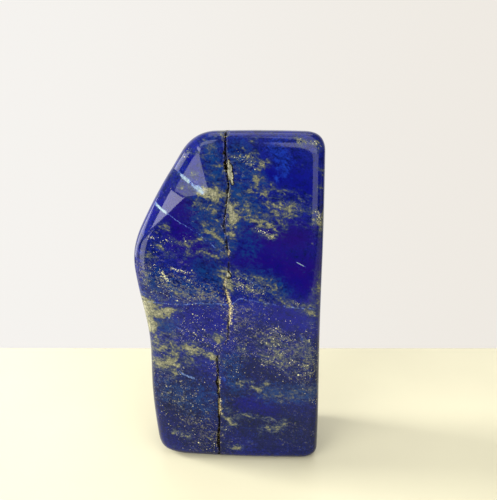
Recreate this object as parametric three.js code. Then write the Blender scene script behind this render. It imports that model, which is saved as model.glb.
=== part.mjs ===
// A free-form of polished lapis lazuli that stands upright on a flat ground foot.
//
// The stone is one solid. It starts as a block, and every face that was ground on the block
// is one entry below: a point on it, the way it looks, and how far the edges that it makes
// with the faces before it are rounded. The faces come in three groups: the front, the back,
// and the outline that runs round between them. Shallow dips stay where the wheel did not
// reach, and one open fissure runs up the front, over the top and down the back.
//
// Millimetres, +Z up. The origin is the middle of the foot. The front looks along -Y.

import * as THREE from "three";
import { mergeVertices } from "three/addons/utils/BufferGeometryUtils.js";

// Driving dimensions.
const HEIGHT = 117.6;
const WIDTH = 63.3;
const THICKNESS = 35;

const RIGHT = WIDTH / 2;
const LEFT = -WIDTH / 2;
const FRONT = -THICKNESS / 2;
const BACK = THICKNESS / 2;

// How far the rims round the front and the back, and the foot's edge, are rounded.
const FRONT_RIM = 5.5;
const BACK_RIM = 8;
const FOOT_EDGE = 4.6;

// The fissure: an open crack, a V in section.
const FISSURE_HALF_WIDTH = 0.45;
const FISSURE_DEPTH = 0.5;
const FISSURE_FADE = 3; // it closes over this height above the foot
const FISSURE_SLANT = 0.12; // sideways per millimetre of depth into the stone
const FISSURE_BENDS = [
  // [height, place across the front]
  [0, -4.1],
  [20, -3.6],
  [31, -3.8],
  [40, -4.1],
  [44, -3.4],
  [48, -0.2],
  [60, 0.4],
  [68, -1.4],
  [74, 0.5],
  [81, 0],
  [88, -1.1],
  [97, 0.1],
  [100.4, 0.6],
  [104, -0.3],
  [115, -0.6],
];

// The grid of the block that is ground down: cells across, through and up the stone.
const CELLS_ACROSS = 26;
const CELLS_THROUGH = 14;
const CELLS_UP = 44;
const CROWDING = 0.86; // 0 spaces the grid evenly, and 1 crowds it most towards the block's edges
const BLOCK_ALLOWANCE = 3; // the uncut block stands this far proud of the finished stone
const CORE_SHARE = 0.5; // grinding works towards a sheet in the stone, this share of the block's size
const GRINDING_STEPS = 24;

// The front: its broad face, a facet over the foot's left corner, and in the upper left corner
// two shoulder facets that meet a third, the hollow facet, in a valley.
const BROAD_FACES = [
  face([4, FRONT, 55], [-0.024, -1, 0.01], { crown: 4000 }),
  face([-14, FRONT + 0.9, 6], [-0.12, -1, -0.1], { edge: 1.5 }),
];
const SHOULDER_FACETS = [
  face([-7, FRONT + 1, 98.2], [-0.12, -1, 0.5]),
  face([-13.6, FRONT + 1.1, 96.6], [-0.26, -1, 0.26], { edge: 0.25 }),
];
const HOLLOW_FACET = face([-9.4, FRONT + 1.3, 114.6], [-0.44, -1, -0.08]);
const VALLEY_EASE = 0.3; // how far the bottom of the valley is rounded
const CORNER_EDGE = 0.2; // how far the edges of the three facets with the broad face are rounded

const BACK_FACES = [
  face([-3, BACK, 52], [0.03, 1, 0.01], { crown: 420 }),
  face([17, BACK - 0.8, 78], [0.34, 1, 0.2], { crown: 300, edge: 5 }),
  face([-17, BACK - 0.8, 26], [-0.3, 1, -0.12], { crown: 300, edge: 6 }),
];

const OUTLINE_FACES = [
  face([RIGHT - 0.2, 0, 30], [1, 0.03, 0.003], { crown: 6000 }), // right side
  face([LEFT, 0, 75], [-1, 0.02, -0.08]), // left side
  face([-29.2, 0, 85.3], [-0.9, 0, 0.44], { edge: 4 }), // left shoulder
  face([-20.2, 0, 102.2], [-0.84, 0, 0.55], { edge: 1.5 }), // upper left bevel
  face([-25.2, 0, 1.4], [-0.75, 0, -0.65], { edge: 3 }), // lower left corner
  face([9, -13, HEIGHT], [0, 0.08, 1], { crown: 500, edge: 6 }), // top
  face([0, 10, HEIGHT - 2.4], [0, 0.3, 1], { edge: 3 }), // back of the top
];

const FOOT = face([0, 0, 0], [0, 0, -1]);

// Shallow dips: where, how far they reach, and how deep they are.
const DIPS = [
  { at: [-30, 0, 47], reach: 17, depth: 2.8 },
  { at: [-17, 0, 105], reach: 5, depth: 0.4 },
  { at: [6, BACK, 88], reach: 16, depth: 1.6 },
  { at: [-12, BACK, 58], reach: 13, depth: 1 },
  { at: [15, BACK, 30], reach: 15, depth: 1.3 },
  { at: [RIGHT, 8, 66], reach: 13, depth: 0.8 },
  { at: [RIGHT, -12, 50], reach: 24, depth: 0.35 },
];

const COLOUR = 0x1b1f78;

// A ground face is flat, or crowned like a very large ball.
function face(at, looks, { crown = Infinity, edge = 0 } = {}) {
  return { at: new THREE.Vector3(...at), normal: new THREE.Vector3(...looks).normalize(), crown, edge };
}

// Height of a point above a face.
function above({ at, normal, crown }, p) {
  const from = p.clone().sub(at);
  const height = normal.dot(from);
  return height + (from.lengthSq() - height * height) / (2 * crown);
}

// The larger of two heights, eased over where they are within `round` of each other.
function roundedMax(a, b, round) {
  if (!round) return Math.max(a, b);
  const share = Math.max(round - Math.abs(a - b), 0) / round;
  return Math.max(a, b) + (share * share * round) / 4;
}

const roundedMin = (a, b, round) => -roundedMax(-a, -b, round);

// Height of a point above the solid that a group of faces bounds.
function aboveAll(faces, p) {
  return faces.reduce((height, next) => roundedMax(height, above(next, p), next.edge), -Infinity);
}

// The front. The stone keeps what lies under either side of the valley.
function aboveFront(p) {
  const valley = roundedMin(aboveAll(SHOULDER_FACETS, p), above(HOLLOW_FACET, p), VALLEY_EASE);
  return roundedMax(aboveAll(BROAD_FACES, p), valley, CORNER_EDGE);
}

// Where the fissure crosses the stone at this depth and height.
function fissureAt(y, z) {
  const next = FISSURE_BENDS.findIndex(([height]) => height > z);
  const last = FISSURE_BENDS.length - 1;
  const i = Math.max(next < 0 ? last : next, 1);
  const [z0, x0] = FISSURE_BENDS[i - 1];
  const [z1, x1] = FISSURE_BENDS[i];
  const share = THREE.MathUtils.clamp((z - z0) / (z1 - z0), 0, 1);
  return THREE.MathUtils.lerp(x0, x1, share) + FISSURE_SLANT * (y - FRONT);
}

function fissureDepth(p) {
  const aside = Math.abs(p.x - fissureAt(p.y, p.z)) / FISSURE_HALF_WIDTH;
  const open = THREE.MathUtils.clamp(p.z / FISSURE_FADE, 0, 1);
  return FISSURE_DEPTH * open * Math.max(1 - aside, 0);
}

function dipDepth(p) {
  return DIPS.reduce((depth, dip) => {
    const away = p.distanceTo(new THREE.Vector3(...dip.at)) / dip.reach;
    return depth + dip.depth * Math.exp(-away * away);
  }, 0);
}

// Height of a point above the finished stone: under 0 inside it, over 0 outside.
function aboveStone(p) {
  const outline = aboveAll(OUTLINE_FACES, p);
  const front = roundedMax(outline, aboveFront(p), FRONT_RIM);
  const back = roundedMax(outline, aboveAll(BACK_FACES, p), BACK_RIM);
  const body = Math.max(front, back) + dipDepth(p) + fissureDepth(p);
  return roundedMax(body, above(FOOT, p), FOOT_EDGE);
}

// A place from -1 to 1 on the block's even grid, moved towards the nearer edge.
function crowded(even) {
  const quarterTurn = (CROWDING * Math.PI) / 2;
  return Math.sin(even * quarterTurn) / Math.sin(quarterTurn);
}

// Moves the grid sideways so that its middle column follows the fissure, and the columns on
// either side of that one follow the fissure's lips.
function besideFissure(x, column, y, z) {
  const line = fissureAt(y, z);
  const off = column - CELLS_ACROSS / 2;
  if (Math.abs(off) <= 1) return line + off * FISSURE_HALF_WIDTH;
  const share = 1 - Math.min(Math.abs(x) / RIGHT, 1);
  return x + line * share * share;
}

// A point on the path along which one corner of the block is ground away: from the core, at 0,
// to the block's surface, at 1.
function onPath(corner, share) {
  const size = THREE.MathUtils.lerp(CORE_SHARE, 1, share);
  const x = (RIGHT + BLOCK_ALLOWANCE) * crowded(2 * corner.x) * size;
  const y = (BACK + BLOCK_ALLOWANCE) * crowded(2 * corner.y) * share;
  const z = HEIGHT / 2 + (HEIGHT / 2 + BLOCK_ALLOWANCE) * crowded(2 * corner.z) * size;
  const column = Math.round((corner.x + 0.5) * CELLS_ACROSS);
  return new THREE.Vector3(besideFissure(x, column, y, z), y, z);
}

// Where a corner of the block ends up on the finished stone.
function ground(corner) {
  let inside = 0;
  let outside = 1;
  for (let step = 0; step < GRINDING_STEPS; step++) {
    const half = (inside + outside) / 2;
    if (aboveStone(onPath(corner, half)) < 0) inside = half;
    else outside = half;
  }
  return onPath(corner, inside);
}

// Puts the stone's lowest point on the ground, and the middle of its bounding box over the origin.
function seat(geometry) {
  geometry.computeBoundingBox();
  const { min, max } = geometry.boundingBox;
  geometry.translate(-(min.x + max.x) / 2, -(min.y + max.y) / 2, -min.z);
}

function stoneGeometry() {
  const block = new THREE.BoxGeometry(1, 1, 1, CELLS_ACROSS, CELLS_THROUGH, CELLS_UP);
  block.deleteAttribute("normal");
  block.deleteAttribute("uv");
  const geometry = mergeVertices(block);
  const corners = geometry.getAttribute("position");
  for (let i = 0; i < corners.count; i++) {
    const place = ground(new THREE.Vector3().fromBufferAttribute(corners, i));
    corners.setXYZ(i, place.x, place.y, place.z);
  }
  seat(geometry);
  geometry.computeVertexNormals();
  return geometry;
}

const stone = new THREE.Mesh(
  stoneGeometry(),
  new THREE.MeshStandardMaterial({ color: COLOUR, roughness: 0.12, metalness: 0 }),
);
stone.name = "lapis_lazuli";

const part = new THREE.Group();
part.add(stone);

export default part;
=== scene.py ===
"""A free-form of polished lapis lazuli, on its ground foot in soft studio light.

The stone is one closed mesh. Its faces are those of the CAD model, cut on a finer grid, with the
fissure's broken lips added. Its minerals are placed as streaks in the stone, which reach the
material as numbers on the mesh's points, and the material breaks them up into grains.

Shapes and places are in millimetres until the mesh is made, and the scene is in metres.
"""

import math
from dataclasses import dataclass

import bpy
import numpy as np
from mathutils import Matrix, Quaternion, Vector, noise


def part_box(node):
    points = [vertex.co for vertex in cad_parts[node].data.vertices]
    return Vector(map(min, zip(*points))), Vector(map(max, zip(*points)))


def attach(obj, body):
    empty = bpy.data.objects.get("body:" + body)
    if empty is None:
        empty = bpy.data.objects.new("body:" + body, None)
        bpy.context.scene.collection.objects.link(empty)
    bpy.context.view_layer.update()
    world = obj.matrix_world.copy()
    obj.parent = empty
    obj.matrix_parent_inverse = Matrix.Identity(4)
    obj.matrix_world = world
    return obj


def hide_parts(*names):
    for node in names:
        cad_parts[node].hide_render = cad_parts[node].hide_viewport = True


NODE = "lapis_lazuli"
MM = 0.001

# The stone's ground faces: +Z up, and the front looks along -Y.
HEIGHT, WIDTH, THICKNESS = 117.6, 63.3, 35.0
RIGHT, LEFT = WIDTH / 2, -WIDTH / 2
FRONT, BACK = -THICKNESS / 2, THICKNESS / 2
FRONT_RIM, BACK_RIM, FOOT_EDGE = 5.5, 8.0, 4.6

# The fissure, a V in section.
FISSURE_HALF_WIDTH = 0.45
FISSURE_DEPTH = 0.5
FISSURE_FADE = 3.0  # it closes over this height above the foot
FISSURE_SLANT = 0.12  # sideways per millimetre of depth into the stone
FISSURE_BENDS = [  # height, place across the front
    (0, -4.1), (20, -3.6), (31, -3.8), (40, -4.1), (44, -3.4), (48, -0.2), (60, 0.4),
    (68, -1.4), (74, 0.5), (81, 0), (88, -1.1), (97, 0.1), (100.4, 0.6), (104, -0.3), (115, -0.6),
]

GAPE = [  # height, half the width of the black line along the fissure
    (0, 0.38), (18, 0.36), (39, 0.28), (43, 0.06), (47, 0.0), (51, 0.10), (58, 0.16),
    (70, 0.10), (74, 0.0), (80, 0.06), (85, 0.0), (90, 0.08), (100, 0.10), (102, 0.22),
    (104, 0.28), (109, 0.28), (115, 0.20), (118, 0.10),
]
FULL_GAPE = 0.25  # the fissure has its whole depth where it gapes this much
CLOSED_SHARE = 0.12  # the share of its depth that is left where it doesn't gape


@dataclass
class Face:
    """A face ground on the stone: flat, or crowned like a very large ball."""

    at: tuple
    looks: tuple
    crown: float = math.inf
    edge: float = 0.0  # how far its edges with the faces before it are rounded

    def above(self, points):
        """Height of points above the face."""
        normal = np.array(self.looks) / np.linalg.norm(self.looks)
        away = points - self.at
        height = away @ normal
        return height + ((away**2).sum(axis=1) - height**2) / (2 * self.crown)


BROAD_FACES = [
    Face((4, FRONT, 55), (-0.024, -1, 0.01), crown=4000),
    Face((-14, FRONT + 0.9, 6), (-0.12, -1, -0.1), edge=1.5),
]
SHOULDER_FACETS = [
    Face((-7, FRONT + 1, 98.2), (-0.12, -1, 0.5)),
    Face((-13.6, FRONT + 1.1, 96.6), (-0.26, -1, 0.26), edge=0.25),
]
HOLLOW_FACET = Face((-9.4, FRONT + 1.3, 114.6), (-0.44, -1, -0.08))
VALLEY_EASE, CORNER_EDGE = 0.3, 0.2
BACK_FACES = [
    Face((-3, BACK, 52), (0.03, 1, 0.01), crown=420),
    Face((17, BACK - 0.8, 78), (0.34, 1, 0.2), crown=300, edge=5),
    Face((-17, BACK - 0.8, 26), (-0.3, 1, -0.12), crown=300, edge=6),
]
OUTLINE_FACES = [
    Face((RIGHT - 0.2, 0, 30), (1, 0.03, 0.003), crown=6000),  # right side
    Face((LEFT, 0, 75), (-1, 0.02, -0.08)),  # left side
    Face((-29.2, 0, 85.3), (-0.9, 0, 0.44), edge=4),  # left shoulder
    Face((-20.2, 0, 102.2), (-0.84, 0, 0.55), edge=1.5),  # upper left bevel
    Face((-25.2, 0, 1.4), (-0.75, 0, -0.65), edge=3),  # lower left corner
    Face((9, -13, HEIGHT), (0, 0.08, 1), crown=500, edge=6),  # top
    Face((0, 10, HEIGHT - 2.4), (0, 0.3, 1), edge=3),  # back of the top
]
FOOT = Face((0, 0, 0), (0, 0, -1))
DIPS = [  # where, reach, depth
    ((-30, 0, 47), 17, 2.8),
    ((-17, 0, 105), 5, 0.4),
    ((6, BACK, 88), 16, 1.6),
    ((-12, BACK, 58), 13, 1.0),
    ((15, BACK, 30), 15, 1.3),
    ((RIGHT, 8, 66), 13, 0.8),
    ((RIGHT, -12, 50), 24, 0.35),
]

# The grid of the block that is ground down.
FINE_REACH = 2.6  # the grid is fine this far to either side of the fissure
FINE_CELL, COARSE_CELL = 0.22, 0.68
CELLS_THROUGH, CELLS_UP = 46, 232
BLOCK_ALLOWANCE = 3.0
CORE_SHARE = 0.5
GRINDING_STEPS = 22

# What the finer grid adds to the ground faces: waves, and chips out of the fissure's lips.
WAVINESS, WAVE_LENGTH = 0.03, 12.0
CHIP_COUNT, CHIP_SEED = 60, 12
CHIPS_ON_FRONT = 0.65  # the share of them on the front, and the others are on the back
CHIP_SCATTER = 0.5  # how far they lie off the fissure's line, as a normal deviation
CHIP_REACH = (0.25, 0.5)  # from the smallest to the largest
CHIP_STRETCH = (1.0, 2.6)  # how much taller than wide
CHIP_THROUGH = 6.0  # how far in from the front or the back they reach
CHIP_DEPTH = 0.55  # as a share of the reach


def rounded_max(a, b, edge):
    """The larger of two heights, eased over where they are within `edge` of each other."""
    if not edge:
        return np.maximum(a, b)
    share = np.maximum(edge - np.abs(a - b), 0) / edge
    return np.maximum(a, b) + share**2 * edge / 4


def above_all(faces, points):
    """Height of points above the solid that a group of faces bounds."""
    height = faces[0].above(points)
    for face in faces[1:]:
        height = rounded_max(height, face.above(points), face.edge)
    return height


def above_front(points):
    """Height of points above the front. The stone keeps what is under either side of the valley."""
    shoulder = above_all(SHOULDER_FACETS, points)
    valley = -rounded_max(-shoulder, -HOLLOW_FACET.above(points), VALLEY_EASE)
    return rounded_max(above_all(BROAD_FACES, points), valley, CORNER_EDGE)


def fissure_line(y, z):
    """Where the fissure crosses the stone at this depth and height."""
    heights, places = zip(*FISSURE_BENDS)
    return np.interp(z, heights, places) + FISSURE_SLANT * (y - FRONT)


def aside_of_fissure(points):
    """How far to the right of the fissure points are."""
    return points[:, 0] - fissure_line(points[:, 1], points[:, 2])


def dip_depth(points):
    """How far points are sunk by the shallow dips."""
    away = [np.linalg.norm(points - at, axis=1) / reach for at, reach, _ in DIPS]
    return sum(depth * np.exp(-(a**2)) for a, (_, _, depth) in zip(away, DIPS))


def gape(points):
    """Half the width of the fissure's black line at the points' heights."""
    heights, half_widths = zip(*GAPE)
    return np.interp(points[:, 2], heights, half_widths)


def fissure_depth(points):
    """How far points are sunk by the fissure."""
    aside = np.abs(aside_of_fissure(points)) / FISSURE_HALF_WIDTH
    fade = np.clip(points[:, 2] / FISSURE_FADE, 0, 1)
    opening = fade * np.clip(gape(points) / FULL_GAPE, CLOSED_SHARE, 1)
    return FISSURE_DEPTH * opening * np.maximum(1 - aside, 0)


def above_stone(points):
    """Height of points above the stone: under 0 inside it, over 0 outside."""
    outline = above_all(OUTLINE_FACES, points)
    front = rounded_max(outline, above_front(points), FRONT_RIM)
    back = rounded_max(outline, above_all(BACK_FACES, points), BACK_RIM)
    body = np.maximum(front, back) + dip_depth(points) + fissure_depth(points)
    return rounded_max(body, FOOT.above(points), FOOT_EDGE)


def grid_columns():
    """Places of the grid's columns on the uncut block, fine beside the fissure."""
    fine = np.linspace(0, FINE_REACH, round(FINE_REACH / FINE_CELL) + 1)
    end = RIGHT + BLOCK_ALLOWANCE
    coarse = np.linspace(FINE_REACH, end, round((end - FINE_REACH) / COARSE_CELL) + 1)
    half = np.concatenate([fine, coarse[1:]])
    return np.concatenate([-half[:0:-1], half])


def block_shell(counts):
    """Grid places of a closed block's surface points, and its quads, which face out."""
    quads = []
    for axis in range(3):
        a, b = (axis + 1) % 3, (axis + 2) % 3
        along_a, along_b = np.meshgrid(range(counts[a]), range(counts[b]), indexing="ij")
        for end, turn in ((0, -1), (counts[axis], 1)):
            corners = np.full(along_a.shape + (4, 3), end)
            for i, (step_a, step_b) in enumerate([(0, 0), (1, 0), (1, 1), (0, 1)][::turn]):
                corners[..., i, a] = along_a + step_a
                corners[..., i, b] = along_b + step_b
            quads.append(corners.reshape(-1, 4, 3))
    quads = np.concatenate(quads)
    places, index = np.unique(quads.reshape(-1, 3), axis=0, return_inverse=True)
    return places, index.reshape(-1, 4)


def on_path(block, share):
    """Points on the paths along which the block is ground away: 0 at the core, 1 outside."""
    size = CORE_SHARE + (1 - CORE_SHARE) * share
    x = block[:, 0] * size
    y = block[:, 1] * share
    z = HEIGHT / 2 + block[:, 2] * size
    fade = np.clip((RIGHT - np.abs(x)) / (RIGHT - FINE_REACH), 0, 1) ** 2
    return np.stack([x + fissure_line(y, z) * fade, y, z], axis=1)


def grind(block):
    """The block's surface points, moved onto the stone."""
    inside = np.zeros(len(block))
    outside = np.ones(len(block))
    for _ in range(GRINDING_STEPS):
        half = (inside + outside) / 2
        in_stone = above_stone(on_path(block, half)) < 0
        inside = np.where(in_stone, half, inside)
        outside = np.where(in_stone, outside, half)
    return on_path(block, inside)


def point_normals(points, quads):
    """The direction that the surface looks in at each point."""
    diagonals = points[quads[:, 2:]] - points[quads[:, :2]]
    across = np.cross(diagonals[:, 0], diagonals[:, 1])
    normals = np.zeros_like(points)
    for corner in range(4):
        np.add.at(normals, quads[:, corner], across)
    return normals / np.linalg.norm(normals, axis=1, keepdims=True)


def smooth_noise(points, length, start=0.0):
    """Perlin noise from -1 to 1, with waves of about this length."""
    return np.array([noise.noise(Vector(point)) for point in points / length + start])


def chip_depth(points):
    """How deep each point lies in a chip out of the fissure's lips, and 0 outside the chips."""
    random = np.random.default_rng(CHIP_SEED)
    depth = np.zeros(len(points))
    beside = np.abs(aside_of_fissure(points)) < FINE_REACH
    near = points[beside]
    for _ in range(CHIP_COUNT):
        height = random.uniform(4, HEIGHT)
        y = random.choice([FRONT, BACK], p=[CHIPS_ON_FRONT, 1 - CHIPS_ON_FRONT])
        x = fissure_line(y, height) + random.normal(0, CHIP_SCATTER)
        reach = random.uniform(*CHIP_REACH)
        stretch = random.uniform(*CHIP_STRETCH)
        away = (near - (x, y, height)) / (reach, CHIP_THROUGH, reach * stretch)
        dent = reach * CHIP_DEPTH * np.maximum(1 - (away**2).sum(axis=1), 0)
        depth[beside] = np.maximum(depth[beside], dent)
    return depth


def seated(points):
    """Puts the stone where the CAD node is: on its lowest point, and centred."""
    low, high = (np.array(corner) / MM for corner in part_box(NODE))
    middle = (low + high) / 2
    own_low, own_high = points.min(axis=0), points.max(axis=0)
    shift = middle - (own_low + own_high) / 2
    shift[2] = low[2] - own_low[2]
    return points + shift


# ---------------------------------------------------------------------------
# The minerals: where they lie in the stone.

INTO_THE_STONE = 0.4  # distances count this much less along the way that streaks run on
BENDS = [(7.0, 1.7), (2.4, 0.8)]  # how long the bends in the streaks are, and how far they go


@dataclass
class Streak:
    """A streak of a mineral from start to end, `reach` thick, that runs on into the stone."""

    start: np.ndarray
    end: np.ndarray
    reach: float
    strength: float
    into: int  # the axis along which it runs on

    def closeness(self, points):
        """The streak's strength on its middle line, 0 at its reach, and under 0 beyond it."""
        squeeze = np.ones(3)
        squeeze[self.into] = INTO_THE_STONE
        from_start = (points - self.start) * squeeze
        along = (self.end - self.start) * squeeze
        share = np.clip(from_start @ along / max(along @ along, 1e-9), 0, 1)
        away = np.linalg.norm(from_start - share[:, None] * along, axis=1) / self.reach
        return (1 - away) * np.where(away < 1, self.strength, 1)


def streaks_on(axis, level):
    """Makes streaks that show on the side of the stone where this axis has this level.

    A streak goes from (a1, b1) to (a2, b2): (x, z) on the front and the back, (y, z) on the left
    and the right, and (x, y) on the top.
    """

    def streak(a1, b1, a2, b2, reach, strength=1.0):
        start, end = np.full(3, float(level)), np.full(3, float(level))
        others = [i for i in range(3) if i != axis]
        start[others], end[others] = (a1, b1), (a2, b2)
        return Streak(start, end, reach, strength, axis)

    return streak


front, back = streaks_on(1, FRONT), streaks_on(1, BACK)
left, right = streaks_on(0, LEFT), streaks_on(0, RIGHT)
top = streaks_on(2, HEIGHT)

# Calcite and diopside: khaki and cream.
CALCITE = [
    # Upper left corner.
    front(-16.6, 103, -15.4, 107, 1.7, 1.1),
    front(-13, 104, -9.5, 104.2, 1.3, 0.4),
    front(-18, 101.3, -10.5, 99.6, 1.8, 0.6),
    front(-21.8, 98, -21, 98.6, 1.0, 0.9),
    front(-11.2, 94.4, -10.6, 94.8, 0.8, 1.0),
    front(-10.8, 115, -8.6, 113.8, 1.0, 0.7),
    front(-19.5, 101, -13.5, 112, 2.0, 0.5),
    front(-6.5, 112, -2, 103, 2.6, 0.25),
    front(-6, 116.4, 0.5, 116.6, 1.0, 0.8),
    # Knots on either side of the fissure.
    front(-6.8, 98.3, -3.6, 97.0, 3.0, 1.8),
    front(1.2, 93.2, 2.4, 90.2, 3.0, 1.9),
    front(2.6, 90, 1.8, 85.5, 2.3, 1.1),
    # Upper right.
    front(4, 109.8, 8, 109, 2.6, 0.3),
    front(13, 108, 9.2, 105.4, 1.3, 0.8),
    front(9.4, 105, 8.6, 101.8, 1.5, 0.9),
    front(7.4, 100.4, 10.4, 98.8, 2.2, 1.0),
    front(9.6, 102.4, 18.3, 99.7, 1.3, 0.4),
    front(18.3, 99.7, 26.7, 96, 1.3, 0.3),
    front(3, 96, 17, 93.5, 4.6, 0.25),
    front(13.2, 96.3, 18.3, 94.6, 1.7, 0.8),
    front(18.3, 94.6, 27.9, 92.2, 1.5, 0.5),
    front(9.8, 89.8, 18, 87.6, 1.9, 0.9),
    front(9.4, 86.6, 15.4, 84.2, 1.3, 0.5),
    front(18, 92, 29, 89.4, 1.8, 0.3),
    front(27, 90, 30, 88, 2.4, 1.0),
    front(6.5, 115.2, 8.3, 114.8, 1.2, 0.7),
    front(19, 115.9, 28.8, 113, 1.0, 0.35),
    front(30, 107, 30, 99, 1.0, 0.2),
    # Left of the fissure, from the knots down.
    front(-8.7, 94.3, -1.6, 92.2, 1.7, 0.3),
    front(-6, 89.6, -3, 88.6, 2.2, 0.35),
    front(-8.7, 87, -4.4, 85.5, 1.1, 0.8),
    front(-4, 85.2, -1.7, 81.5, 1.2, 0.8),
    front(-21, 87.6, -19.6, 86.8, 1.5, 0.5),
    front(-12, 82, -3, 79.5, 3.4, 0.1),
    front(-22.7, 80.4, -18.3, 78, 1.3, 0.45),
    front(-18.2, 83.4, -13.2, 80.8, 1.4, 0.7),
    front(-26, 77, -26.5, 70, 1.8, 0.25),
    front(-17.6, 65.2, -13.4, 64.4, 0.9, 0.9),
    # The middle, beside the fissure.
    front(-1.0, 72, 0.6, 66.5, 2.0, 0.9),
    front(3, 69.6, 13, 65.6, 3.2, 0.45),
    front(13, 66, 20, 62.5, 1.6, 0.2),
    front(25.3, 58.8, 29, 56.2, 2.3, 0.7),
    front(30, 70, 30, 63, 2.2, 0.3),
    # The large patch on the lower left, with blue fingers in it.
    front(-28.5, 60, -27, 52, 4.0, 2.8),
    front(-27, 58.4, -19.5, 57, 2.6, 1.7),
    front(-27.2, 54, -26.6, 46, 2.0, 1.3),
    front(-25, 49.8, -19.5, 50.4, 1.3, 0.7),
    front(-24.5, 44.5, -19, 41, 5.2, 0.7),
    front(-26, 38.4, -18.8, 37.8, 3.4, 1.2),
    front(-13.8, 43.9, -4.4, 42.6, 2.4, 1.1),
    front(-17.5, 41.4, -13.6, 39.8, 1.4, 0.7),
    front(-4, 50.2, -3.6, 49.6, 2.0, 0.8),
    # Lower right.
    front(4.4, 44.2, 6, 42, 1.8, 0.5),
    front(16, 44, 26, 41, 4.5, 0.1),
    front(26, 47, 28.5, 41, 2.2, 0.3),
    front(4.4, 31.7, 5.2, 31.4, 1.3, 1.2),
    front(8, 30.4, 10.4, 29.2, 1.7, 0.7),
    front(11.9, 31.2, 13, 30.9, 1.2, 0.7),
    front(12, 28.2, 29, 27.6, 2.2, 0.1),
    front(-0.8, 20.4, 0.4, 20, 1.2, 0.8),
    front(0.2, 16.9, 1.0, 15.6, 1.7, 1.1),
    front(-1.6, 14.6, -1.2, 12.4, 1.0, 0.6),
    front(3.6, 18.8, 15.3, 17.6, 1.1, 0.3),
    front(11, 12.6, 19.6, 15.8, 1.6, 0.4),
    front(-0.8, 6.2, 4, 5.4, 1.2, 0.8),
    front(-20, 11, -16, 10, 1.4, 0.3),
    # The sides and the top.
    left(-14, 57, 10, 50, 5.0, 0.8),
    left(-12, 36, 4, 41, 3.0, 0.6),
    left(2, 80, 14, 74, 2.4, 0.6),
    left(-4, 22, 12, 17, 2.6, 0.4),
    right(-14, 89, 8, 80, 3.4, 0.8),
    right(-12, 57, 2, 52, 2.6, 0.6),
    right(2, 38, 14, 33, 3.4, 0.7),
    right(-10, 28, 2, 24, 1.8, 0.5),
    right(4, 104, 14, 99, 2.4, 0.6),
    top(-2, -12, 2, 12, 2.0, 0.6),
    top(14, -10, 24, 2, 2.6, 0.5),
    # The back.
    back(26, 88, 8, 99, 3.6, 0.8),
    back(8, 99, -8, 103, 2.4, 0.6),
    back(20, 76, -4, 82, 2.2, 0.4),
    back(-22, 74, -8, 66, 3.4, 0.6),
    back(2, 60, 24, 52, 2.8, 0.7),
    back(-26, 52, -14, 44, 4.2, 0.9),
    back(-12, 44, 6, 38, 2.0, 0.6),
    back(10, 30, 27, 36, 3.0, 0.6),
    back(-20, 22, -4, 14, 2.8, 0.6),
    back(4, 18, 20, 10, 2.0, 0.4),
]

# Pyrite: clusters of gold grains.
PYRITE = [
    front(-20.6, 71.2, -20.2, 69.8, 1.7, 1.6),
    front(-18, 73.5, -12.4, 72.8, 1.1, 1.3),
    front(-27.6, 73, -23, 72.6, 1.6, 0.6),
    front(-25.8, 83.2, -24.2, 82.7, 0.9, 1.8),
    front(-23, 80, -14, 82.4, 3.0, 0.1),
    front(-24.6, 63.6, -24, 62.6, 1.0, 0.8),
    front(-26, 68, -6, 62, 5.5, 0.1),
    front(-12, 52, 2, 40, 7.0, 0.25),
    front(9.6, 87, 15, 84.2, 1.2, 1.0),
    front(4, 109.6, 8.6, 108.4, 2.0, 0.6),
    front(6.6, 115.2, 8.2, 114.9, 0.8, 1.0),
    front(3, 69, 11, 65.4, 2.6, 0.6),
    front(6.6, 55, 27, 38, 9.0, 0.2),
    front(4.6, 44, 6, 42, 1.8, 0.8),
    front(1.6, 48, 4.6, 46.6, 1.0, 0.6),
    front(16, 45, 21, 41, 3.0, 0.35),
    front(22, 62, 23.4, 61.4, 1.2, 0.7),
    front(-18.7, 38.6, -18.5, 36.4, 0.8, 1.3),
    front(-27.4, 59, -26, 44, 2.4, 0.3),
    front(-26, 34, -8, 10, 9.0, 0.12),
    front(29.8, 42, 29.8, 24, 1.6, 0.35),
    front(19, 116, 28.8, 113.2, 0.9, 0.6),
    front(-12.8, 109.4, -11.4, 110.6, 1.0, 0.4),
    front(-19.5, 101, -13, 113, 2.2, 0.9),
    front(29.4, 92, 30.2, 87, 1.3, 1.4),
    front(-16.4, 104, -15.6, 106.4, 1.2, 0.5),
    left(-10, 62, 12, 48, 6.0, 0.4),
    right(-8, 94, 10, 78, 4.0, 0.4),
    right(0, 44, 12, 28, 5.0, 0.5),
    top(12, -8, 24, 6, 4.0, 0.4),
    back(24, 92, 4, 100, 3.0, 0.5),
    back(-20, 70, -10, 66, 3.4, 0.7),
    back(4, 58, 22, 50, 4.0, 0.5),
    back(-24, 48, -12, 42, 4.0, 0.4),
    back(12, 30, 24, 36, 3.0, 0.6),
    back(-16, 20, 10, 12, 5.0, 0.3),
]

# Fine khaki dust between the grains.
DUST = [
    front(-28, 72, -4, 62, 11.0, 1.3),
    front(-22, 84, -8, 80, 7.0, 0.5),
    front(-24, 46, -2, 52, 9.0, 0.9),
    front(2, 56, 28, 38, 14.0, 1.15),
    front(-22, 30, -6, 8, 14.0, 0.9),
    front(4, 26, 28, 8, 13.0, 0.6),
    front(-10, 90, 26, 96, 8.0, 0.6),
    front(-8, 110, 8, 104, 6.0, 0.6),
    left(-10, 70, 8, 20, 18.0, 0.8),
    right(-8, 56, 8, 20, 18.0, 0.8),
    right(-8, 96, 8, 84, 10.0, 0.6),
    back(-20, 96, 20, 56, 18.0, 0.7),
    back(-20, 40, 20, 16, 18.0, 0.9),
]

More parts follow.
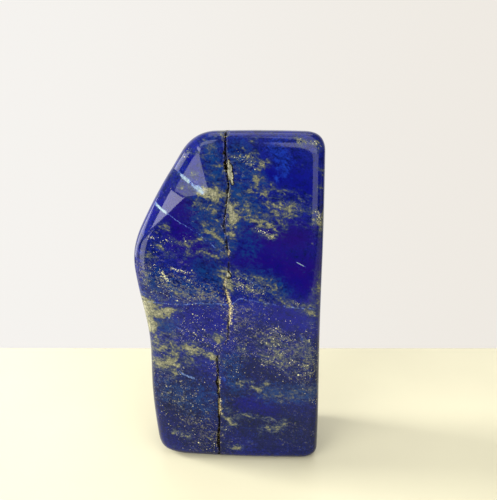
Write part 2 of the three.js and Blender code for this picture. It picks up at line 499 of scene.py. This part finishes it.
# Where the blue is darker: towards the foot on every side, and in patches. The first streak is
# painted shade on the upper left bevel.
DARK_AND_SHADE = [
    front(-18.6, 103.4, -14.4, 112, 3.2, 1.0),
    front(-20, 26, -8, 8, 14.0, 0.6),
    front(4, 20, 28, 10, 14.0, 0.7),
    front(6, 36, 28, 32, 9.0, 0.5),
    front(8, 50, 28, 44, 6.0, 0.1),
    left(-10, 30, 10, 12, 12.0, 0.8),
    right(-10, 36, 10, 14, 14.0, 0.9),
    back(-20, 30, 20, 16, 14.0, 0.9),
    back(10, 76, 20, 62, 8.0, 0.6),
]

# Where it leans towards violet, teal and sky blue, and where it is purest.
VIOLET = [
    front(-16, 95, -8, 91, 5.0, 0.8),
    front(9, 85, 24, 84, 6.0, 0.8),
    front(8, 77, 28, 72, 9.0, 0.6),
    front(-16, 88, -6, 76, 7.0, 0.5),
    back(-16, 92, 0, 86, 9.0, 0.8),
    back(8, 44, 22, 42, 7.0, 0.6),
    right(-6, 70, 8, 66, 9.0, 0.6),
]
TEAL = [
    front(-4.6, 114, -2.6, 103, 2.6, 0.8),
    front(3, 110, 8, 103, 4.0, 0.7),
    front(2, 99, 9, 93, 4.0, 1.0),
    front(-8, 93, -2, 82, 4.5, 0.8),
    front(4, 88, 7, 81, 3.4, 0.4),
    front(-8, 73, -2, 70, 3.4, 0.6),
    front(8, 71, 18, 66, 3.0, 0.7),
    front(-24, 68, -8, 65, 4.5, 0.7),
    front(-22, 54, -20, 52, 2.0, 1.0),
    front(13, 28, 29, 27.6, 3.0, 0.9),
    front(0.5, 40, 3, 30, 3.0, 0.4),
    front(-20, 28, -8, 24, 5.0, 0.4),
    left(-8, 60, 8, 48, 6.0, 0.7),
    back(20, 92, 0, 98, 6.0, 0.7),
    back(-24, 58, -8, 50, 7.0, 0.6),
    back(6, 34, 22, 30, 6.0, 0.6),
]
SKY = [
    front(15.6, 114.4, 17.6, 108, 2.2, 0.5),
    front(17.6, 108, 19, 106, 1.4, 0.9),
    front(15.9, 103.7, 16.2, 103.4, 0.9, 1.3),
    front(23.6, 49.8, 24.4, 49.2, 0.8, 1.0),
    front(-1.4, 33.6, -0.8, 32.6, 0.8, 0.9),
    front(-27.6, 66, -28.6, 61, 1.0, 0.6),
    back(-12, 80, -8, 74, 2.4, 0.8),
    right(4, 62, 6, 56, 2.2, 0.8),
]
PURE = [
    front(12.6, 105.6, 17, 104, 2.8, 0.9),
    front(10, 99, 12, 93, 3.4, 0.6),
    front(-16, 87, -11, 81, 4.4, 0.7),
    front(-14, 112, -12, 108, 2.6, 0.9),
    front(8, 79, 26, 69, 7.0, 0.9),
    front(18, 106, 26, 100, 5.0, 0.5),
    front(5.6, 24, 14, 22, 3.4, 0.35),
    front(16, 58, 24, 55, 3.4, 0.4),
    front(-12, 58, -4, 55, 3.4, 0.4),
    back(-16, 92, 0, 88, 7.0, 0.8),
    back(4, 70, 20, 68, 6.0, 0.6),
    back(-10, 30, 2, 26, 6.0, 0.6),
    right(-8, 70, 8, 64, 8.0, 0.7),
    left(-8, 92, 8, 88, 8.0, 0.6),
]

# What still fills the fissure in places.
CALCITE_FILLS = [
    front(0.6, 108.6, 0.7, 107, 0.55),
    front(0.7, 107, 1.2, 103.4, 0.9, 1.2),
    front(1.2, 103.4, 1.7, 101.6, 0.55),
    front(0.2, 98.4, 0.3, 97.6, 0.6, 1.0),
    front(-1.4, 72.2, 0.2, 71, 0.9, 0.5),
    front(-4.9, 39.2, -4.3, 36.4, 0.5, 1.0),
    back(2.6, 92, 3.4, 82, 0.8, 1.2),
    back(0, 36, 0.4, 28, 0.8, 1.0),
]
PYRITE_FILLS = [
    front(-0.9, 69.6, -1, 67.6, 0.7, 0.7),
    front(-0.6, 65.4, 0.7, 59.6, 0.95, 1.0),
    front(0.7, 59.6, 0.4, 54, 0.85, 0.8),
    front(0.2, 79.4, 0.2, 78.4, 0.7, 0.9),
    front(-3.6, 33.6, -3.5, 28, 0.7, 0.7),
    front(-3.8, 25, -3.3, 19.4, 0.95, 0.9),
    back(4, 60, 4.4, 52, 0.9, 1.0),
    back(0.2, 20, 0.2, 14, 0.8, 1.0),
]

# Healed fractures, seen on the front as thin pale lines, and bright bars on the upper left facets'
# edges that are partly a painted highlight: points (x, z) from left to right, half their width, and
# how bright they are.
HEALED_AND_EDGE_SHEEN = [
    # The first three are the bright bars: partly healed fracture, partly painted highlight of the
    # facet edges that they lie on.
    ([(-15.6, 104.1), (-11.6, 101.2)], 0.75, 1.5),
    ([(-11.6, 101.2), (-7.2, 98.5)], 0.7, 1.2),
    ([(-23.6, 94.5), (-19.2, 91.7)], 0.4, 1.5),
    ([(-19.4, 91.8), (-13.7, 87.9), (-9, 84.9), (-3.6, 80.2), (-1.3, 79.2)], 0.16, 0.75),
    ([(-27, 61.3), (-16.9, 60.5), (-9.6, 61.1), (-2.2, 61), (0.2, 60.6)], 0.15, 0.74),
    ([(1.1, 60.8), (3.8, 63.1), (8.8, 62.2), (17.1, 60.4), (29.8, 59.2)], 0.15, 0.74),
    ([(22.2, 75.9), (25.2, 74.2)], 0.13, 1.15),
    ([(3, 72.6), (7, 69.4), (11.6, 66.4)], 0.12, 0.6),
    ([(-17.8, 36.2), (-15.8, 34.6), (-11.4, 32.8)], 0.28, 0.95),
    ([(-17.4, 52.4), (-14.8, 50.6)], 0.12, 0.6),
    ([(24.2, 39.2), (27, 36.4)], 0.12, 0.5),
]
HEALED_REACH = 1.4  # how far from a healed fracture its line is still looked for
HEALED_DEPTH = 14.0  # how far it runs into the stone from the front
FAR_ASIDE = 9.0  # stands for any place that no healed fracture is near, in half widths

# For each mineral: its streaks, the least closeness to them that counts on the front, and what
# is added to that on the other sides, where fewer streaks are placed.
MINERALS = {
    "calcite": (CALCITE, -0.95, 0.5),
    "pyrite": (PYRITE, -0.7, 0.4),
    "dust": (DUST, -0.6, 0.4),
    "dark": (DARK_AND_SHADE, -1, 0),
    "violet": (VIOLET, -1, 0),
    "teal": (TEAL, -1, 0),
    "sky": (SKY, -1, 0),
    "pure": (PURE, -1, 0),
}
OTHER_SIDES_FROM = 10.0  # from this far behind the front, points count as on the other sides


def bent(points):
    """Points pushed about by noise, so that the streaks seen from them wander."""
    moved = points.copy()
    for length, reach in BENDS:
        for axis in range(3):
            moved[:, axis] += reach * smooth_noise(points, length, start=10.0 * (axis + 1))
    return moved


def closeness(points, streaks, least=-1.0):
    """How close each point is to the nearest of the streaks, and `least` far from all."""
    nearest = np.maximum.reduce([streak.closeness(points) for streak in streaks])
    return np.maximum(nearest, least)


def healed_and_sheen_lines(points):
    """How far above the nearest pale line each point is, in half widths, and its light: healed
    fractures, and on the upper left facets' edges partly painted highlight.
    """
    aside = np.full(len(points), FAR_ASIDE)
    light = np.zeros(len(points))
    x, y, z = points.T
    depth = np.clip(1 - (y - FRONT) / HEALED_DEPTH, 0, 1)
    for line, half_width, brightness in HEALED_AND_EDGE_SHEEN:
        places, heights = zip(*line)
        rise = z - np.interp(x, places, heights)
        ends = np.clip(np.minimum(x - places[0], places[-1] - x) + 0.5, 0, 1)
        here = brightness * depth * ends * np.clip(2 - 2 * np.abs(rise) / HEALED_REACH, 0, 1)
        nearest = here > light
        aside[nearest] = rise[nearest] / half_width
        light[nearest] = here[nearest]
    return aside, light


def mineral_fields(points, chips):
    """The numbers that tell the material what lies at each point of the mesh."""
    other_sides = np.clip((points[:, 1] - FRONT) / OTHER_SIDES_FROM, 0, 1)
    aside, light = healed_and_sheen_lines(points)
    wandering = bent(points)
    fields = {
        name: closeness(wandering, streaks, least + added * other_sides)
        for name, (streaks, least, added) in MINERALS.items()
    }
    return fields | {
        "calcite_fill": closeness(points, CALCITE_FILLS),
        "pyrite_fill": closeness(points, PYRITE_FILLS),
        "fissure_aside": aside_of_fissure(points),
        "gape": gape(points),
        "chip": chips,
        "healed_aside": aside,
        "healed_and_sheen_light": light,
    }


def uncut_block():
    """The surface points of the block that is ground down, and its quads."""
    columns = grid_columns()
    through = np.linspace(-1, 1, CELLS_THROUGH + 1) * (BACK + BLOCK_ALLOWANCE)
    up = np.linspace(-1, 1, CELLS_UP + 1) * (HEIGHT / 2 + BLOCK_ALLOWANCE)
    places, quads = block_shell((len(columns) - 1, CELLS_THROUGH, CELLS_UP))
    block = np.stack([columns[places[:, 0]], through[places[:, 1]], up[places[:, 2]]], axis=1)
    return block, quads


def stone_mesh(points, quads, fields):
    """The stone's mesh, with the numbers of each field on its points."""
    mesh = bpy.data.meshes.new("polished_stone")
    mesh.from_pydata(points * MM, [], quads.tolist())
    mesh.shade_smooth()
    for name, numbers in fields.items():
        made = mesh.attributes.new(name, "FLOAT", "POINT")
        made.data.foreach_set("value", numbers.astype(np.float32))
    return mesh


def make_stone():
    """The stone, ground, waved and chipped, where the CAD node is."""
    block, quads = uncut_block()
    points = grind(block)
    chips = chip_depth(points)
    fields = mineral_fields(points, chips)
    lift = WAVINESS * smooth_noise(points, WAVE_LENGTH) - chips
    points = seated(points + point_normals(points, quads) * lift[:, None])
    stone = bpy.data.objects.new("polished_stone", stone_mesh(points, quads, fields))
    bpy.context.scene.collection.objects.link(stone)
    return stone


# ---------------------------------------------------------------------------
# The materials.

# The sockets with which a Mix node mixes colours.
MIX_SHARE, MIX_A, MIX_B, MIX_RESULT = 0, 6, 7, 2


class Field:
    """One output of a shader node. Arithmetic on it adds the nodes that work it out."""

    def __init__(self, socket):
        self.socket = socket

    def math(self, operation, *others):
        inputs = dict(enumerate((self, *others)))
        return add_node(self.socket.id_data, "ShaderNodeMath", inputs, operation=operation)

    def __add__(self, other):
        return self.math("ADD", other)

    def __sub__(self, other):
        return self.math("SUBTRACT", other)

    def __rsub__(self, other):
        return self * -1 + other

    def __mul__(self, other):
        return self.math("MULTIPLY", other)

    def __abs__(self):
        return self.math("ABSOLUTE")

    def over(self, low, high):
        """0 under low and 1 over high, eased between them. It falls where low is over high."""
        inputs = {0: self, 1: low, 2: high}
        tree = self.socket.id_data
        return add_node(tree, "ShaderNodeMapRange", inputs, interpolation_type="SMOOTHSTEP")

    def part(self, name):
        """Another output of the same node."""
        return Field(self.socket.node.outputs[name])


def add_node(tree, kind, inputs, output=0, **settings):
    """Adds a node with these settings and inputs, and returns one of its outputs."""
    node = tree.nodes.new(kind)
    for name, value in settings.items():
        setattr(node, name, value)
    for name, value in inputs.items():
        if isinstance(value, Field):
            tree.links.new(value.socket, node.inputs[name])
        else:
            node.inputs[name].default_value = value
    return Field(node.outputs[output])


def new_material(name):
    """A new material, and the node that its looks go into."""
    material = bpy.data.materials.new(name)
    material.use_nodes = True
    return material, material.node_tree.nodes["Principled BSDF"]


def attribute(tree, name):
    """The numbers that the mesh has under this name."""
    return add_node(tree, "ShaderNodeAttribute", {}, output="Fac", attribute_name=name)


def place_in_mm(tree):
    place = add_node(tree, "ShaderNodeTexCoord", {}, output="Object")
    return scaled(place, (1 / MM,) * 3)


def scaled(place, factors):
    tree = place.socket.id_data
    return add_node(tree, "ShaderNodeVectorMath", {0: place, 1: factors}, operation="MULTIPLY")


def turned_into_bands(place):
    """Places in which noise is drawn out along the stone's bands, which fall to the right."""
    inputs = {0: place, 2: (0, 1, 0), 3: -BAND_FALL}
    tree = place.socket.id_data
    turned = add_node(tree, "ShaderNodeVectorRotate", inputs, rotation_type="AXIS_ANGLE")
    return scaled(turned, (1 / BAND_STRETCH, 1 / BAND_STRETCH, 1))


def swing(place, size, detail=3.0, roughness=0.55, distortion=0.0):
    """Noise with waves of this size, mostly from -1 to 1."""
    inputs = {
        "Vector": place,
        "Scale": 1 / size,
        "Detail": detail,
        "Roughness": roughness,
        "Distortion": distortion,
    }
    return (add_node(place.socket.id_data, "ShaderNodeTexNoise", inputs) - 0.5) * 4


def warped(place, size, reach):
    """Places pushed about by noise, so that what is drawn with them has ragged edges."""
    tree = place.socket.id_data
    inputs = {"Vector": place, "Scale": 1 / size, "Detail": 2.0}
    push = add_node(tree, "ShaderNodeTexNoise", inputs, output="Color")
    inputs = {0: push, 1: (2 * reach,) * 3, 2: place}
    return add_node(tree, "ShaderNodeVectorMath", inputs, operation="MULTIPLY_ADD")


def cells(place, size):
    """Distance from the nearest of points scattered about this size apart."""
    inputs = {"Vector": place, "Scale": 1 / size}
    return add_node(place.socket.id_data, "ShaderNodeTexVoronoi", inputs, output="Distance")


def mixed(share, a, b):
    """Colour a, or b where the share is 1."""
    tree = share.socket.id_data
    inputs = {MIX_SHARE: share, MIX_A: a, MIX_B: b}
    return add_node(tree, "ShaderNodeMix", inputs, output=MIX_RESULT, data_type="RGBA")


def channels(colour):
    """The three channels of a colour."""
    tree = colour.socket.id_data
    red = add_node(tree, "ShaderNodeSeparateColor", {0: colour}, output="Red")
    return red, red.part("Green"), red.part("Blue")


# The stone's bands: how far they fall, and how much noise is drawn out along them.
BAND_FALL = math.radians(17)
BAND_STRETCH = 1.7

# Pyrite grains: millimetres between them, their radius as a share of that, and how likely.
PYRITE_GRAINS = [(0.4, 0.32, 0.12), (0.8, 0.26, 0.06), (1.7, 0.19, 0.05)]

ULTRAMARINE = (0.005, 0.008, 0.116, 1)
DEEP_BLUE = (0.002, 0.004, 0.045, 1)
NAVY = (0.001, 0.003, 0.016, 1)
PURE_BLUE = (0.0015, 0.001, 0.092, 1)
VIOLET_BLUE = (0.008, 0.001, 0.062, 1)
TEAL_BLUE = (0.002, 0.021, 0.080, 1)
SKY_BLUE = (0.007, 0.033, 0.25, 1)
SLATE = (0.016, 0.026, 0.058, 1)
OLIVE = (0.050, 0.054, 0.042, 1)
KHAKI = (0.130, 0.125, 0.062, 1)
CREAM = (0.31, 0.29, 0.185, 1)
OCHRE = (0.18, 0.155, 0.07, 1)
GOLD = (0.48, 0.40, 0.20, 1)
PALE_GOLD = (0.56, 0.54, 0.28, 1)
PALE_BLUE = (0.13, 0.22, 0.50, 1)
# PALE_GREEN also colours the painted highlight along the upper left facets' edges.
PALE_GREEN = (0.18, 0.25, 0.26, 1)
PALE_DUST = (0.045, 0.066, 0.130, 1)
# Painted shade: the near black down in the open fissure, in its chips and in the gaps beside its
# fills.
FISSURE_SHADE_BLACK = (0.003, 0.0025, 0.002, 1)
# The darker stone beside the fissure.
FISSURE_BROWN = (0.009, 0.008, 0.009, 1)
SHELF_CREAM = (0.455, 0.425, 0.298, 1)
SHELF_PALE_CREAM = (0.475, 0.445, 0.31, 1)

# Roughness of the polished and of the broken stone.
POLISHED, BROKEN = 0.085, 0.75


def lazurite(tree, place, bands):
    """The blue, from navy to ultramarine, with violet, teal and sky blue in places."""
    cloud = swing(bands, 6, detail=4, roughness=0.6)
    blotch = swing(bands, 1.4, detail=3, roughness=0.6, distortion=0.6)
    grain = swing(place, 0.6, detail=1.5, roughness=0.6)
    # The darker places include the painted shade on the upper left bevel.
    dark = attribute(tree, "dark").over(-0.5, 0.7)
    tone = (cloud * 0.45 + blotch * 0.7) * (1 - dark * 0.6) + grain * 0.6 + 0.1 - dark * 0.9
    blue = mixed(tone.over(-1.5, -0.1), NAVY, DEEP_BLUE)
    blue = mixed(tone.over(-0.7, 1.0), blue, ULTRAMARINE)
    pure = attribute(tree, "pure") + blotch * 0.5 + grain * 0.3
    blue = mixed(pure.over(-0.6, 1.0) * 0.8, blue, PURE_BLUE)
    violet = attribute(tree, "violet") + blotch * 0.5 + cloud * 0.3
    blue = mixed(violet.over(-0.5, 1.2) * 0.8, blue, VIOLET_BLUE)
    teal = attribute(tree, "teal") + blotch * 1.2 + grain * 0.6
    blue = mixed(teal.over(-0.6, 1.5) * 0.8, blue, TEAL_BLUE)
    sky = attribute(tree, "sky") + blotch * 0.7 + grain * 0.5
    return mixed(sky.over(-0.5, 1.9) * 0.7, blue, SKY_BLUE)


def with_calcite(tree, place, bands, blue):
    """Calcite over the blue: soft clouds and nets round blue blobs, cream at their hearts."""
    closeness = attribute(tree, "calcite")
    blobs = swing(warped(bands, 2.6, 0.9), 1.9, detail=1.5, roughness=0.5)
    threads = 0.3 - abs(swing(warped(bands, 1.8, 0.6), 1.4, detail=2, roughness=0.5))
    clouds = swing(bands, 4.5, detail=3, roughness=0.6)
    grit = swing(warped(place, 1.2, 0.3), 0.8, detail=4, roughness=0.75)
    patchy = blobs * 0.5 + threads * 0.85 + clouds * 0.3 + grit * 0.5
    amount = closeness * 0.75 + patchy - attribute(tree, "pure").over(0, 1) * 0.4
    colour = mixed(amount.over(-0.4, 0.6) * 0.7, blue, SLATE)
    colour = mixed(amount.over(0.1, 0.7) * 0.7, colour, OLIVE)
    calcite = amount.over(0.4, 0.85)
    heart = (closeness * 0.6 + blobs * 0.25 + grit * 0.6).over(0.3, 1.7)
    speckle = grit + swing(place, 0.4, detail=2, roughness=0.7) * 0.6
    tint = mixed(speckle.over(-1.1, 0.9), OLIVE, mixed(heart, KHAKI, CREAM))
    return mixed(calcite * 0.9, colour, tint), calcite


def with_dust(tree, bands, colour):
    """Single grains in the blue: pale blue everywhere, and khaki where there is dust."""
    clumps = swing(warped(bands, 2.2, 0.6), 0.75, detail=5, roughness=0.85)
    drift = swing(bands, 3.0, detail=2, roughness=0.6)
    dust = attribute(tree, "dust")
    near = dust.math("MAXIMUM", -0.15) * 0.5 - attribute(tree, "pure").over(-0.3, 0.6) * 0.5
    dusty = near + clumps * 1.2 + drift * 0.3
    khaki = (dust * 0.6 + drift * 0.6 + clumps * 0.5).over(-0.6, 1.2)
    return mixed(dusty.over(0.5, 1.35) * 0.8, colour, mixed(khaki, PALE_DUST, KHAKI))


def with_healed_and_edge_sheen(tree, place, colour):
    """Pale lines: solid and greenish where they are bright, which on the upper left facets' edges
    is partly a painted highlight, and broken and bluish elsewhere.
    """
    light = attribute(tree, "healed_and_sheen_light")
    solid = light.over(0.8, 1.1)
    wander = swing(place, 2.4, detail=4, roughness=0.65) * (2.4 - solid * 1.9)
    line = abs(attribute(tree, "healed_aside") + wander)
    broken = swing(place, 0.9, detail=3, roughness=0.7).over(-0.4, 1.0)
    healed = line.over(1.6, 0.5) * light * (solid * 0.55 + broken * 0.75)
    healed = healed.math("MINIMUM", 1)
    return mixed(healed, colour, mixed(solid, PALE_BLUE, PALE_GREEN))


def with_fissure(tree, place, colour):
    """The fissure: a ragged black line of painted shade, darker stone beside it, with crumbs, and
    filled in places.

    Gives back the colour, the distance from the fissure's line, and where the fissure is open.
    """
    ragged = swing(place, 0.9, detail=3, roughness=0.65)
    winding = swing(place, 3.5, detail=2)
    fine = swing(place, 0.5, detail=2, roughness=0.7)
    wander = ragged * 0.32 + winding * 0.42
    aside = abs(attribute(tree, "fissure_aside") + wander)
    width = attribute(tree, "gape") + ragged * 0.24 + fine * 0.08 + winding * 0.2
    crack = (aside - width).over(0.1, -0.06)
    chip = (attribute(tree, "chip") + ragged * 0.1 - 0.16).over(0.0, 0.2)
    open_stone = crack.math("MAXIMUM", chip)
    # Darker stone on either side of the fissure's line.
    darker_beside = (aside + fine * 0.5 - winding * 0.6).over(0.7, 0.0)
    colour = mixed(darker_beside * 0.5, colour, FISSURE_BROWN)
    # Painted shade: the open crack and the chips are coloured near black.
    colour = mixed(open_stone, colour, FISSURE_SHADE_BLACK)
    crumbs = (fine * 0.9 + ragged * 0.5 + winding * 0.3 - aside * 0.35).over(0.5, 1.0)
    crumbs = crumbs * aside.over(1.5, 0.7)
    colour = mixed(crumbs, colour, mixed(ragged.over(-0.4, 1.2), OCHRE, CREAM))
    to_the_right = (attribute(tree, "fissure_aside") + ragged * 0.15).over(-0.3, 0.0)
    calcite = attribute(tree, "calcite_fill") + fine * 0.15
    # Painted shade in the open gap beside each calcite fill.
    gap = (calcite + ragged * 0.4).over(-0.45, -0.1) * to_the_right
    colour = mixed(gap, colour, FISSURE_SHADE_BLACK)
    fill = (calcite + ragged * 0.25).over(0.0, 0.35) * to_the_right
    fill_tint = mixed((ragged + fine * 0.5).over(-1.0, 1.5), OLIVE, CREAM)
    colour = mixed(fill, colour, fill_tint)
    return colour, aside, open_stone * (1 - crumbs) * (1 - fill)


def with_pyrite(tree, place, aside, colour):
    """Gold: angular grains, alone and in clusters, and crumbs that fill the fissure."""
    jagged = warped(place, 0.4, 0.2)
    fine = swing(place, 0.45, detail=2, roughness=0.7)
    drift = swing(place, 2.2, detail=3, roughness=0.6)
    chains = 0.4 - abs(swing(place, 1.8, detail=1.5))
    pyrite = attribute(tree, "pyrite")
    to_the_right = (attribute(tree, "fissure_aside") + fine * 0.1).over(-0.3, 0.1)
    fill = (attribute(tree, "pyrite_fill") * 0.7 + fine * 0.8).over(0.15, 0.6) * to_the_right
    lump = ((pyrite - 0.7) * 0.8 + fine * 0.95).over(0.2, 0.7)
    gold = fill.math("MAXIMUM", lump)
    by_fissure = aside.over(1.6, 0.5) * 0.3
    near = pyrite * 0.55 + by_fissure + drift * 0.35 + chains * 0.3
    for size, radius, likely in PYRITE_GRAINS:
        grain = cells(jagged, size)
        chance, shrink, shine = channels(grain.part("Color"))
        kept = (near + likely - chance).over(0.0, 0.08)
        fleck = (grain - (shrink * radius * 0.8 + radius * 0.3)).over(0.04, -0.06)
        gold = gold.math("MAXIMUM", fleck * kept * (shine * 0.6 + 0.4))
    bright = mixed(aside.over(1.5, 0.5), PALE_GOLD, GOLD)
    shade = swing(place, 0.35, detail=1) + drift * 0.5 + pyrite * 0.7
    tint = mixed(shade.over(-1.1, 0.5), OCHRE, bright)
    return mixed(gold, colour, tint), gold


def lapis_material():
    """Lapis lazuli, laid up mineral by mineral, with a glossy polish."""
    material, shader = new_material("lapis")
    tree = material.node_tree
    place = place_in_mm(tree)
    bands = turned_into_bands(place)
    colour = lazurite(tree, place, bands)
    colour, calcite = with_calcite(tree, place, bands, colour)
    colour = with_dust(tree, bands, colour)
    colour = with_healed_and_edge_sheen(tree, place, colour)
    colour, aside, open_stone = with_fissure(tree, place, colour)
    colour, gold = with_pyrite(tree, place, aside, colour)

    # The softer and the harder minerals take the polish differently.
    polish = swing(place, 6, detail=3) * 0.015 + POLISHED + calcite * 0.05 + gold * 0.2
    roughness = polish.math("MAXIMUM", open_stone * BROKEN)
    # Black metal has no sheen, like the shade in the open fissure.
    metal = (gold * 0.3).math("MAXIMUM", open_stone)
    height = calcite * -0.5 + gold * 0.8 + swing(place, 0.8) * 0.25 - open_stone * 2
    relief = {"Height": height, "Strength": 0.25, "Distance": 0.02 * MM}
    bump = add_node(tree, "ShaderNodeBump", relief)
    tree.links.new(colour.socket, shader.inputs["Base Color"])
    tree.links.new(metal.socket, shader.inputs["Metallic"])
    tree.links.new(roughness.socket, shader.inputs["Roughness"])
    tree.links.new(bump.socket, shader.inputs["Normal"])
    shader.inputs["IOR"].default_value = 1.5
    shader.inputs["Specular IOR Level"].default_value = 0.2
    return material


def shelf_material():
    """Cream lacquer, slightly uneven."""
    material, shader = new_material("pale_shelf")
    tree = material.node_tree
    tone = swing(place_in_mm(tree), 60, detail=3).over(-1, 1)
    colour = mixed(tone, SHELF_CREAM, SHELF_PALE_CREAM)
    tree.links.new(colour.socket, shader.inputs["Base Color"])
    shader.inputs["Roughness"].default_value = 0.4
    return material


# ---------------------------------------------------------------------------
# The studio.

CAMERA_AT = (6.6, -201.8, 137.9)
CAMERA_TILT = math.radians(17.4)
CAMERA_LENS = 43.2

SHELF_FRONT, SHELF_BACK = -175.0, 74.0
SHELF_HALF_LENGTH = 900.0
SHELF_THICKNESS = 24.0
SHELF_EDGE = 2.0  # how far its edges are rounded

# The room, as the camera sees it behind the shelf, and as it lights the stone.
# Painted light: the wall that the camera sees is lighter on the left, where the window is.
BACKDROP_LEFT = (0.92, 0.90, 0.87, 1)
BACKDROP_RIGHT = (0.86, 0.82, 0.76, 1)
SKY_LIGHT = (0.32, 0.32, 0.34, 1)
WALL_LIGHT = (0.85, 0.84, 0.82, 1)
ROOM_DARK = (0.03, 0.03, 0.035, 1)


def make_camera():
    """A camera that looks slightly down at the stone's front."""
    data = bpy.data.cameras.new("camera")
    data.lens = CAMERA_LENS
    data.clip_start, data.clip_end = 0.01, 20
    camera = bpy.data.objects.new("camera", data)
    camera.location = Vector(CAMERA_AT) * MM
    camera.rotation_euler = (math.pi / 2 - CAMERA_TILT, 0, 0)
    bpy.context.scene.collection.objects.link(camera)
    bpy.context.scene.camera = camera


def make_shelf():
    """A pale shelf, whose back edge is not far behind the stone."""
    x, y0, y1, z = SHELF_HALF_LENGTH, SHELF_FRONT, SHELF_BACK, -SHELF_THICKNESS
    corners = [(i, j, k) for i in (-x, x) for j in (y0, y1) for k in (z, 0)]
    sides = [(0, 1, 3, 2), (4, 6, 7, 5), (0, 4, 5, 1), (2, 3, 7, 6), (0, 2, 6, 4), (1, 5, 7, 3)]
    mesh = bpy.data.meshes.new("shelf")
    mesh.from_pydata([Vector(corner) * MM for corner in corners], [], sides)
    shelf = bpy.data.objects.new("shelf", mesh)
    bpy.context.scene.collection.objects.link(shelf)
    mesh.materials.append(shelf_material())
    bevel = shelf.modifiers.new("eased_edges", "BEVEL")
    bevel.width, bevel.segments = SHELF_EDGE * MM, 4


def make_softbox(name, at, size, power, roll=0.0):
    """A soft light that shines at the stone's middle, rolled about its own axis."""
    data = bpy.data.lights.new(name, "AREA")
    data.shape = "RECTANGLE"
    data.size, data.size_y = (length * MM for length in size)
    data.energy = power
    light = bpy.data.objects.new(name, data)
    light.location = Vector(at) * MM
    aim = Vector((0, 0, HEIGHT / 2)) - Vector(at)
    rolled = Quaternion((0, 0, 1), math.radians(roll))
    light.rotation_euler = (aim.to_track_quat("-Z", "Y") @ rolled).to_euler()
    light.visible_camera = False
    bpy.context.scene.collection.objects.link(light)
    return light


def make_room():
    """A pale room: bright behind the stone, dim under the shelf, and to the camera a wall with
    painted light, lighter on the left.
    """
    world = bpy.data.worlds.new("room")
    bpy.context.scene.world = world
    world.use_nodes = True
    tree = world.node_tree
    direction = add_node(tree, "ShaderNodeTexCoord", {}, output="Generated")
    x = add_node(tree, "ShaderNodeSeparateXYZ", {0: direction}, output="X")
    y, z = x.part("Y"), x.part("Z")
    light = mixed(z.over(-0.02, 0.1), ROOM_DARK, SKY_LIGHT)
    light = mixed(y.over(0.4, 0.8), light, WALL_LIGHT)
    # Painted light on the wall: lighter towards the left.
    backdrop = mixed(x.over(-0.5, 0.5), BACKDROP_LEFT, BACKDROP_RIGHT)
    seen = add_node(tree, "ShaderNodeLightPath", {}, output="Is Camera Ray")
    shown = mixed(seen, light, backdrop)
    background = tree.nodes["Background"]
    tree.links.new(shown.socket, background.inputs["Color"])


def make_lights():
    """A large window on the left, softer light from the front, right and above, and a lamp.

    The polish doesn't mirror the window's glow and the lamp, which casts the shadow to the right.
    The rim card lights nothing: it only shows in the polish, along the left rim.
    """
    make_softbox("window_top", (-668, -704, 384), (650, 260), 6.7, roll=-15)
    window_glow = make_softbox("window_glow", (-650, -722, 283), (820, 366), 5.3)
    window_glow.visible_glossy = False
    rim_card = make_softbox("rim_card", (-861, 263, 75), (620, 430), 4.2)
    rim_card.visible_diffuse = False
    make_softbox("window", (-732, -640, -91), (545, 382), 4.9)
    make_softbox("front_light", (340, -893, 340), (690, 386), 4.4)
    make_softbox("right_card", (546, -805, 4), (545, 284), 1.75)
    make_softbox("ceiling_left", (-310, -600, 600), (300, 260), 1.4)
    make_softbox("ceiling_right", (280, -400, 650), (460, 720), 3.4)
    make_softbox("ceiling_back", (20, 160, 900), (640, 640), 3.6)
    lamp = make_softbox("lamp", (-720, 125, 360), (220, 340), 13.0)
    lamp.visible_glossy = False


def dress_stone():
    """The stone in its material, which stands in for the CAD node."""
    stone = make_stone()
    stone.data.materials.append(lapis_material())
    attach(stone, "root")
    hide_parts(NODE)


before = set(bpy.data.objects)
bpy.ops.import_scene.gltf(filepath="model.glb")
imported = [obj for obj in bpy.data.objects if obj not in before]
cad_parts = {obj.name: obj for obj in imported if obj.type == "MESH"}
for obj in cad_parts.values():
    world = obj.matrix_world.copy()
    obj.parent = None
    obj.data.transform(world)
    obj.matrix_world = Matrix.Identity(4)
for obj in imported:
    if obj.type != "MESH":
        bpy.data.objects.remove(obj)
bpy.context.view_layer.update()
bpy.context.scene.view_settings.view_transform = "Standard"
make_camera()
make_shelf()
make_room()
make_lights()
dress_stone()
